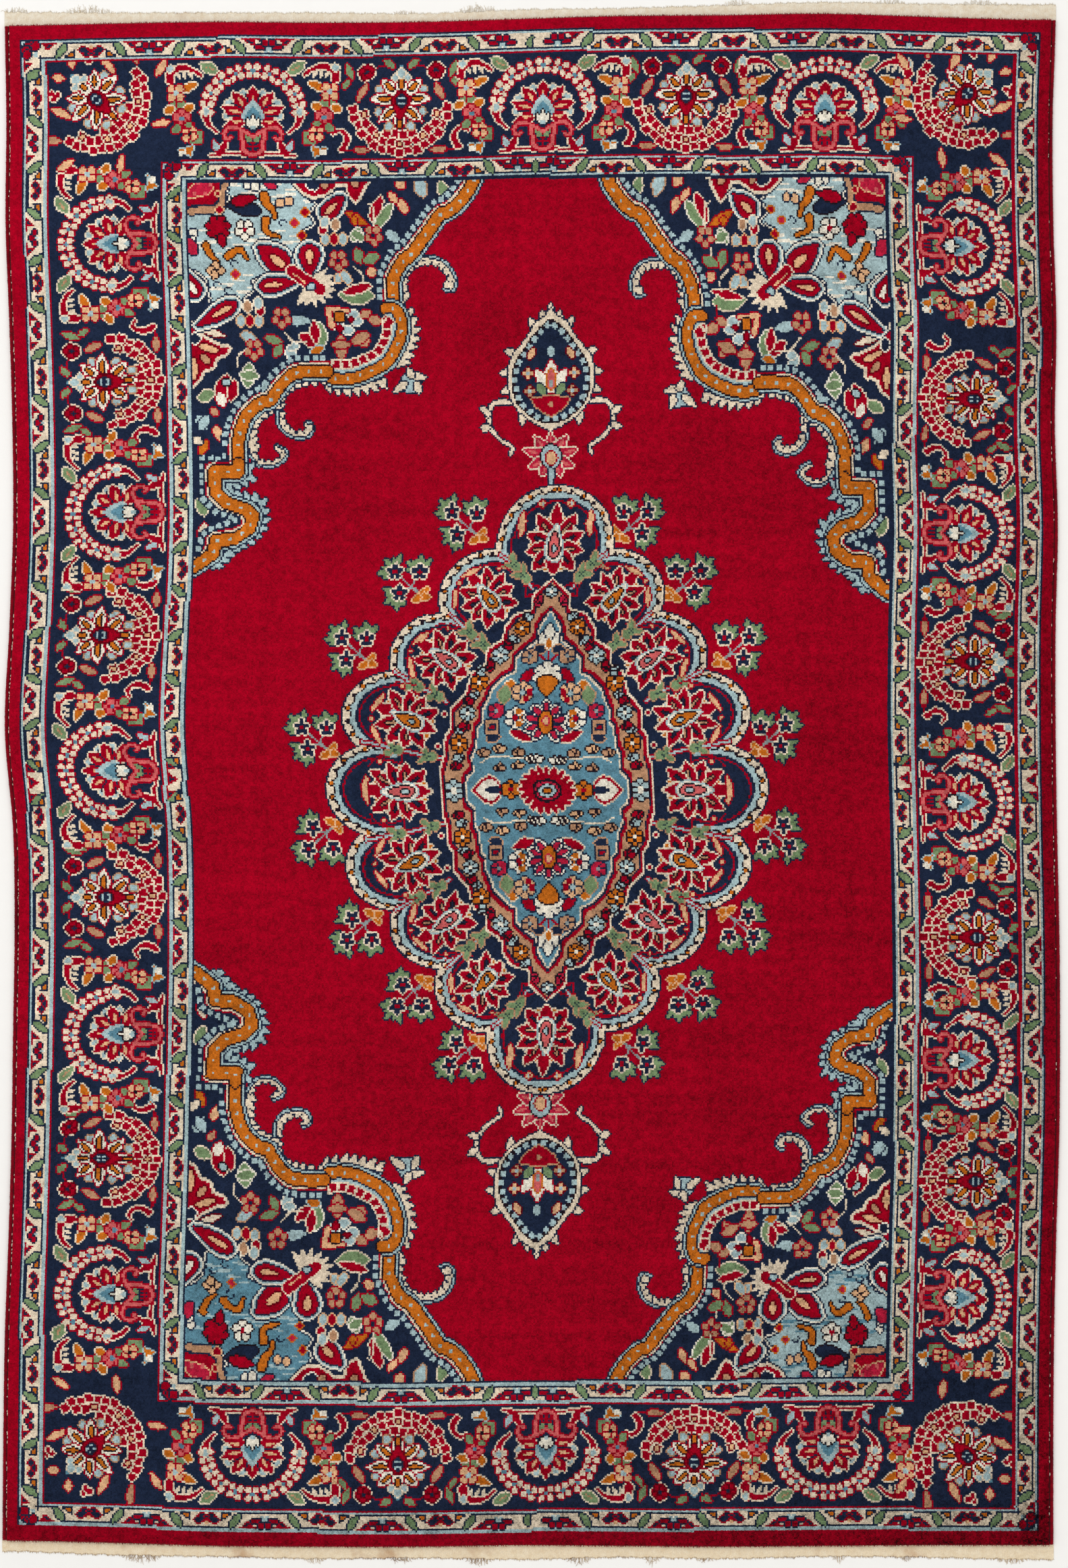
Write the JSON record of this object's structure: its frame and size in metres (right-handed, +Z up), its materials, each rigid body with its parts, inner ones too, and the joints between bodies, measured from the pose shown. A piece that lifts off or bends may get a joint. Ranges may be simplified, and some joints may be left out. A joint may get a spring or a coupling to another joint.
{
  "type": "hand-knotted wool rug",
  "caption": "Flat rectangular knotted rug with a clipped pile, overcast side edges and short flat-woven ends with frayed warps.",
  "frame": {"origin": "on the floor, under the middle of the rug's bounding box", "axes": "+X across the rug, +Y along its length towards the end at the top of the picture, +Z up out of the pile"},
  "size_m": [1.413, 2.0978, 0.0098],
  "materials": {
    "knotted_wool": "clipped wool pile, matt with a soft sheen, mostly crimson with navy, ivory and sky-blue figures",
    "flat_woven_cotton": "ribbed undyed cotton flat weave",
    "overcast_wool": "crimson wool wrapped over the edge cords"
  },
  "bodies": {
    "root": {"pile": "knotted_wool", "kelim_top": "flat_woven_cotton", "kelim_bottom": "flat_woven_cotton", "selvedge_left": "overcast_wool", "selvedge_right": "overcast_wool"}
  },
  "joints": []
}
